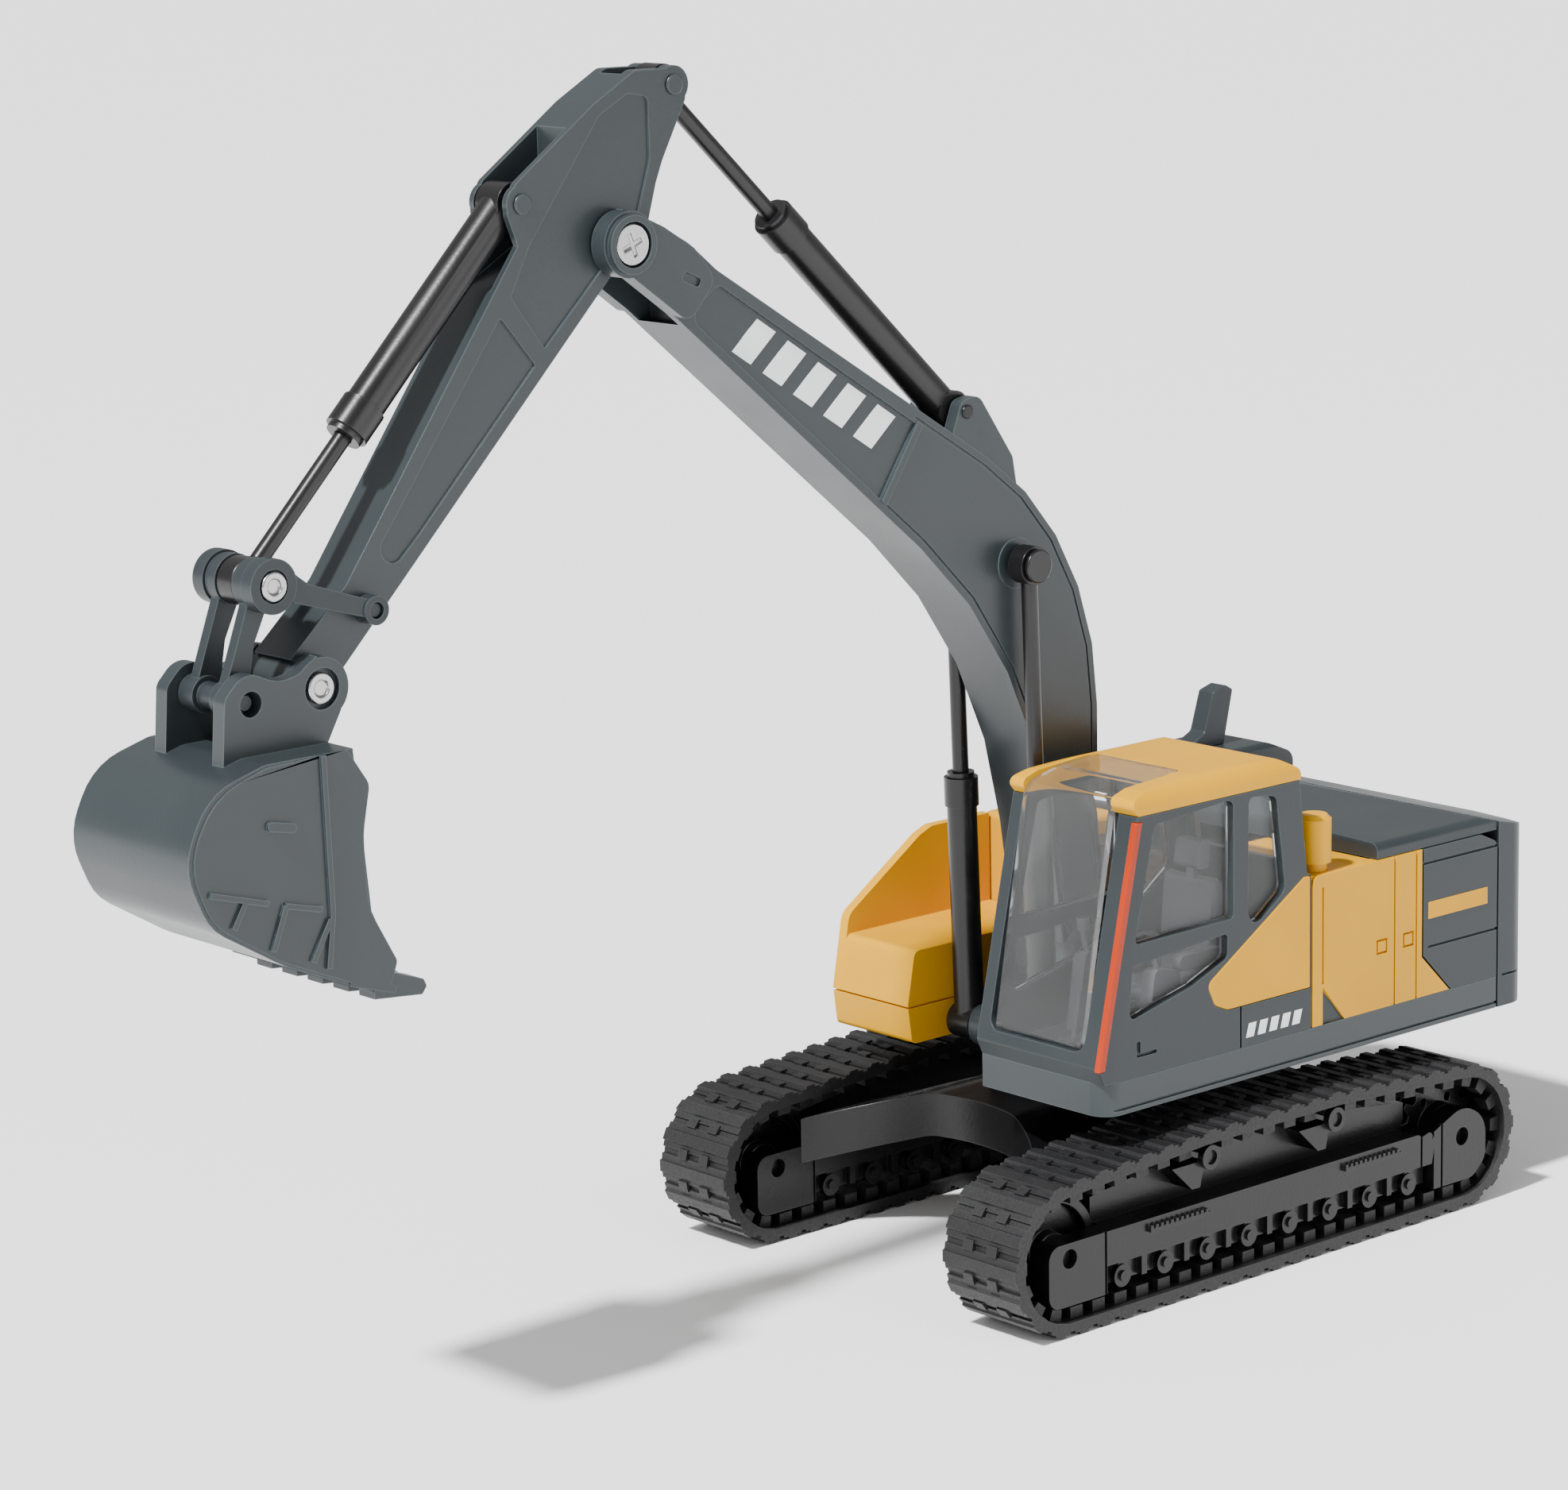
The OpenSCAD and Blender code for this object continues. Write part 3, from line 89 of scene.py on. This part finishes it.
def sun_light(strength, toward_light, softness_degrees):
    data = bpy.data.lights.new("sun", "SUN")
    data.energy = strength
    data.angle = math.radians(softness_degrees)
    lamp = bpy.data.objects.new("sun", data)
    lamp.rotation_euler = Vector(toward_light).to_track_quat("Z", "Y").to_euler()
    bpy.context.collection.objects.link(lamp)


def make_studio():
    """White floor and surround, one main light from the front and above, two soft fills."""
    world = bpy.data.worlds.new("surround")
    world.use_nodes = True
    shade = world.node_tree.nodes["Background"]
    shade.inputs["Color"].default_value = (1, 1, 1, 1)
    shade.inputs["Strength"].default_value = 0.48
    bpy.context.scene.world = world
    sun_light(7.6, (0.06, -0.58, 0.81), 4)
    area_light("front", (0.2, -0.8, 0.5), (0, -0.05, 0.06), (0.5, 0.5), 1.6)
    area_light("side", (0.8, 0.1, 0.35), (0, 0, 0.04), (0.5, 0.6), 2.2)
    mesh = bpy.data.meshes.new("floor")
    corners = [(x * FLOOR_REACH, y * FLOOR_REACH, 0) for x, y in ((-1, -1), (1, -1), (1, 1), (-1, 1))]
    mesh.from_pydata(corners, [], [(0, 1, 2, 3)])
    floor = bpy.data.objects.new("floor", mesh)
    floor.location.z = -FLOOR_GAP
    bpy.context.collection.objects.link(floor)
    floor.data.materials.append(paper("floor_paper"))


# ---------- materials ----------

# Places of the colour sockets on a Mix node, which has one set of sockets for each data type.
MIX_COLOR_A = 6
MIX_COLOR_B = 7
MIX_COLOR_RESULT = 2


class Shade:
    """A node tree with short calls for the parts that every material here is made of."""

    def __init__(self, name):
        self.material = bpy.data.materials.new(name)
        self.material.use_nodes = True
        self.tree = self.material.node_tree
        self.surface = self.tree.nodes["Principled BSDF"]
        self.place = self.add("ShaderNodeTexCoord").outputs["Object"]

    def add(self, kind, **settings):
        node = self.tree.nodes.new(kind)
        for key, value in settings.items():
            setattr(node, key, value)
        return node

    def link(self, start, end):
        self.tree.links.new(start, end)

    def noise(self, size_mm, detail):
        """Noise whose blotches are about size_mm across."""
        node = self.add("ShaderNodeTexNoise")
        node.inputs["Scale"].default_value = 1.0 / (size_mm * MM)
        node.inputs["Detail"].default_value = detail
        node.inputs["Roughness"].default_value = 0.5
        self.link(self.place, node.inputs["Vector"])
        return node.outputs["Fac"]

    def spread(self, value, low_in, high_in, low_out, high_out):
        """Maps low_in..high_in to low_out..high_out and holds it there outside them."""
        node = self.add("ShaderNodeMapRange")
        limits = {"From Min": low_in, "From Max": high_in, "To Min": low_out, "To Max": high_out}
        for key, number in limits.items():
            node.inputs[key].default_value = number
        self.link(value, node.inputs["Value"])
        return node.outputs["Result"]

    def mix(self, amount, first, second):
        """Mixes two colours; each is a tuple or a socket."""
        node = self.add("ShaderNodeMix", data_type="RGBA")
        self.link(amount, node.inputs["Factor"])
        for socket, value in ((node.inputs[MIX_COLOR_A], first), (node.inputs[MIX_COLOR_B], second)):
            if isinstance(value, tuple):
                socket.default_value = (*value, 1)
            else:
                self.link(value, socket)
        return node.outputs[MIX_COLOR_RESULT]

    def edges(self, radius_mm):
        """1 on outer edges, where the painted edge highlight goes, 0 on flat faces."""
        rounded = self.add("ShaderNodeBevel", samples=4)
        rounded.inputs["Radius"].default_value = radius_mm * MM
        flat = self.add("ShaderNodeNewGeometry").outputs["Normal"]
        dot = self.add("ShaderNodeVectorMath", operation="DOT_PRODUCT")
        self.link(rounded.outputs["Normal"], dot.inputs[0])
        self.link(flat, dot.inputs[1])
        return self.spread(dot.outputs["Value"], 1.0, 0.9, 0.0, 1.0)

    def bump(self, height, depth_mm):
        node = self.add("ShaderNodeBump")
        node.inputs["Distance"].default_value = depth_mm * MM
        self.link(height, node.inputs["Height"])
        return node.outputs["Normal"]

    def finish(self, color, rough, normal):
        self.link(color, self.surface.inputs["Base Color"])
        self.link(rough, self.surface.inputs["Roughness"])
        self.link(normal, self.surface.inputs["Normal"])
        return self.material


def tint(color, factor):
    return tuple(min(1.0, channel * factor) for channel in color)


def paper(name):
    shade = Shade(name)
    grain = shade.noise(0.8, 4)
    color = shade.mix(grain, (0.93, 0.93, 0.93), (0.95, 0.95, 0.95))
    return shade.finish(color, shade.spread(grain, 0, 1, 0.8, 0.95), shade.bump(grain, 0.02))


def coated(name, color, rough, grain_mm, grain_depth, edge_light, shine=0.5):
    """Paint or moulded plastic: faint blotches, fine orange peel and a painted highlight that makes the outer
    edges lighter.
    """
    shade = Shade(name)
    blotch = shade.noise(14, 3)
    grain = shade.noise(grain_mm, 2)
    body = shade.mix(shade.spread(blotch, 0.3, 0.7, 0, 1), tint(color, 0.93), tint(color, 1.07))
    # Painted highlight: the outer edges are made lighter by edge_light, as if lit.
    highlit_edges = shade.mix(shade.edges(0.22), body, tint(color, edge_light))
    roughness = shade.spread(blotch, 0.25, 0.75, rough - 0.05, rough + 0.06)
    shade.surface.inputs["Specular IOR Level"].default_value = shine
    return shade.finish(highlit_edges, roughness, shade.bump(grain, grain_depth))


def rubber(name, color):
    """Satin rubber with a coarse mould texture, faint dusty blotches and outer edges painted lighter as a
    highlight.
    """
    shade = Shade(name)
    grain = shade.noise(0.35, 3)
    dust = shade.noise(5, 4)
    body = shade.mix(shade.spread(dust, 0.45, 0.75, 0, 1), color, tint(color, 1.6))
    # Painted highlight: the outer edges are made four times lighter, as if lit.
    highlit_edges = shade.mix(shade.edges(0.18), body, tint(color, 4.0))
    return shade.finish(highlit_edges, shade.spread(grain, 0.3, 0.7, 0.48, 0.66), shade.bump(grain, 0.035))


def clear(name, color):
    """Clear moulding with a very slight cast and faint scuffs."""
    shade = Shade(name)
    scuff = shade.noise(2.5, 4)
    glass = shade.surface
    glass.inputs["Transmission Weight"].default_value = 0.97
    glass.inputs["IOR"].default_value = 1.2
    glass.inputs["Specular IOR Level"].default_value = 0.6
    shade.link(shade.mix(scuff, tint(color, 0.96), color), glass.inputs["Base Color"])
    shade.link(shade.spread(scuff, 0.5, 0.8, 0.02, 0.08), glass.inputs["Roughness"])
    return shade.material


def bright(name, color):
    """Plated metal with a fine grain."""
    shade = Shade(name)
    shade.surface.inputs["Metallic"].default_value = 1.0
    grain = shade.noise(0.25, 3)
    return shade.finish(
        shade.mix(grain, tint(color, 0.85), color),
        shade.spread(grain, 0.3, 0.7, 0.16, 0.34),
        shade.bump(grain, 0.01))


def make_materials():
    return {
        "slate_paint": coated("slate_paint", (0.022, 0.029, 0.032), 0.34, 0.5, 0.012, 2.8, 0.45),
        "slate_plastic": coated("slate_plastic", (0.02, 0.026, 0.029), 0.38, 0.4, 0.012, 2.5, 0.35),
        "yellow_plastic": coated("yellow_plastic", (0.64, 0.31, 0.0), 0.4, 0.4, 0.01, 1.15, 0.2),
        "black_plastic": coated("black_plastic", (0.003, 0.003, 0.0034), 0.28, 0.4, 0.015, 5.0, 0.4),
        "cylinder_plastic": coated("cylinder_plastic", (0.006, 0.0056, 0.0062), 0.3, 0.4, 0.01, 2.5, 0.45),
        "cab_trim": coated("cab_trim", (0.055, 0.06, 0.066), 0.5, 0.3, 0.02, 1.3, 0.3),
        "orange_plastic": coated("orange_plastic", (0.36, 0.025, 0.0), 0.3, 0.4, 0.008, 1.3, 0.3),
        "track_rubber": rubber("track_rubber", (0.004, 0.004, 0.0045)),
        "clear_plastic": clear("clear_plastic", (0.97, 0.98, 0.98)),
        "bright_rivet": bright("bright_rivet", (0.5, 0.5, 0.51)),
    }


# ---------- soft edges on the CAD nodes ----------

# Width of the rounded edges in millimetres. Nodes that aren't named take EDGE_MM_OTHERS.
EDGE_MM = {
    "counterweight": 0.9, "engine_hood": 0.5, "radiator_cover": 0.6, "tool_box": 0.45, "fuel_tank": 0.45,
    "deck": 0.4, "cab_roof": 0.35, "cab_frame": 0.28, "boom": 0.42, "arm": 0.32, "bucket": 0.3,
    "chassis": 0.5, "track_frame_left": 0.22, "track_frame_right": 0.22,
    "track_left": 0.16, "track_right": 0.16, "cab_glazing": 0.12, "cab_side_glass": 0.06,
    "guide_links": 0.25, "h_link": 0.25,
}
EDGE_MM_OTHERS = 0.15
SHARP_ABOVE = math.radians(32)


def facet_smoother():
    """Node group that shades a mesh smoothly wherever its faces meet at less than SHARP_ABOVE."""
    group = bpy.data.node_groups.new("facet_smoother", "GeometryNodeTree")
    group.interface.new_socket("Geometry", in_out="INPUT", socket_type="NodeSocketGeometry")
    group.interface.new_socket("Geometry", in_out="OUTPUT", socket_type="NodeSocketGeometry")
    start = group.nodes.new("NodeGroupInput")
    end = group.nodes.new("NodeGroupOutput")
    angle = group.nodes.new("GeometryNodeInputMeshEdgeAngle")
    sharp = group.nodes.new("FunctionNodeCompare")
    sharp.operation = "GREATER_THAN"
    sharp.inputs["B"].default_value = SHARP_ABOVE
    normals = group.nodes.new("GeometryNodeSetMeshNormal")
    normals.mode = "SHARPNESS"
    normals.inputs["Remove Custom"].default_value = True
    normals.inputs["Face Sharpness"].default_value = False
    group.links.new(angle.outputs["Unsigned Angle"], sharp.inputs["A"])
    group.links.new(sharp.outputs["Result"], normals.inputs["Edge Sharpness"])
    group.links.new(start.outputs["Geometry"], normals.inputs["Mesh"])
    group.links.new(normals.outputs["Mesh"], end.inputs["Geometry"])
    return group


def soften(node, obj, smoother):
    """Merges the mesh into whole faces, smooths its shallow facets and rounds its sharp edges."""
    weld = obj.modifiers.new("weld", "WELD")
    weld.merge_threshold = 0.001 * MM
    flat = obj.modifiers.new("whole_faces", "DECIMATE")
    flat.decimate_type = "DISSOLVE"
    flat.angle_limit = math.radians(0.6)
    facets = obj.modifiers.new("smooth_facets", "NODES")
    facets.node_group = smoother
    edge = obj.modifiers.new("soft_edge", "BEVEL")
    edge.width = EDGE_MM.get(node, EDGE_MM_OTHERS) * MM
    edge.segments = 2
    edge.limit_method = "ANGLE"
    edge.angle_limit = SHARP_ABOVE
    edge.use_clamp_overlap = True
    shading = obj.modifiers.new("weighted_shading", "WEIGHTED_NORMAL")
    shading.keep_sharp = True


def dress_nodes(materials):
    smoother = facet_smoother()
    for node, obj in NODES.items():
        obj.data.materials.clear()
        obj.data.materials.append(materials[SLOTS[node]])
        soften(node, obj, smoother)


# ---------- printed marks ----------

PRINT_DEPTH = 0.06 * MM
BOOM_WEB_HALF_W = 3.9 * MM
DOWN_BOOM = Vector((0.842, -0.54))
UP_FROM_BOOM = Vector((0.54, 0.842))
PANEL_RECESS = 0.35 * MM


def printed(name, body, x, side, outlines, material):
    """Skin-thin prints on a side face at x (side 1 faces +X). Each outline is a list of (y, z) Vectors."""
    bm = bmesh.new()
    for outline in outlines:
        low = [bm.verts.new((x, p.x, p.y)) for p in outline]
        high = [bm.verts.new((x + side * PRINT_DEPTH, p.x, p.y)) for p in outline]
        bm.faces.new(low)
        bm.faces.new(high)
        for a in range(len(outline)):
            b = (a + 1) % len(outline)
            bm.faces.new((low[a], low[b], high[b], high[a]))
    bmesh.ops.recalc_face_normals(bm, faces=bm.faces)
    mesh = bpy.data.meshes.new(name)
    bm.to_mesh(mesh)
    bm.free()
    mesh.materials.append(material)
    piece = bpy.data.objects.new(name, mesh)
    bpy.context.collection.objects.link(piece)
    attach(piece, body)


def slanted_bars(start, along, across, count, height, width, step):
    """Outlines of a row of slanted bars. start, along and across are (y, z); the sizes are in millimetres."""
    lean = 0.3 * height
    corners = ((0, 0), (width, 0), (width + lean, height), (lean, height))
    return [[(start + along * (i * step + u) + across * v) * MM for u, v in corners] for i in range(count)]


def make_markings(materials):
    """Plain bars where lettering would be, the rear stripe and the dark corner of the side panel."""
    white = coated("marking_white", (0.86, 0.88, 0.9), 0.4, 0.3, 0.004, 1.0)
    boom_low, boom_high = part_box("boom")
    boom_x = (boom_low.x + boom_high.x) / 2
    panel_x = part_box("left_rear_panel")[1].x
    boom_bars = slanted_bars(Vector((-55.4, 108.6)), DOWN_BOOM, UP_FROM_BOOM, 5, 4.6, 3.1, 5.1)
    door_bars = slanted_bars(Vector((-1.8, 27.2)), Vector((1, 0)), Vector((0, 1)), 5, 1.6, 1.2, 1.9)
    stripe = [[Vector(p) * MM for p in ((29.2, 35.4), (39.7, 35.4), (39.7, 37.4), (29.2, 37.4))]]
    corner = [[Vector(p) * MM for p in ((11.05, 30.3), (11.05, 26.25), (14.95, 26.25))]]
    for side, tag in ((1, "left"), (-1, "right")):
        printed("boom_bars_" + tag, "boom_group", boom_x + side * BOOM_WEB_HALF_W, side,
                boom_bars, white)
        printed("rear_stripe_" + tag, "house", side * panel_x, side, stripe,
                materials["yellow_plastic"])
    printed("door_bars", "house", panel_x, 1, door_bars, white)
    printed("panel_corner", "house", panel_x - PANEL_RECESS, 1, corner,
            materials["slate_plastic"])


make_camera()
make_studio()
materials = make_materials()
dress_nodes(materials)
make_markings(materials)
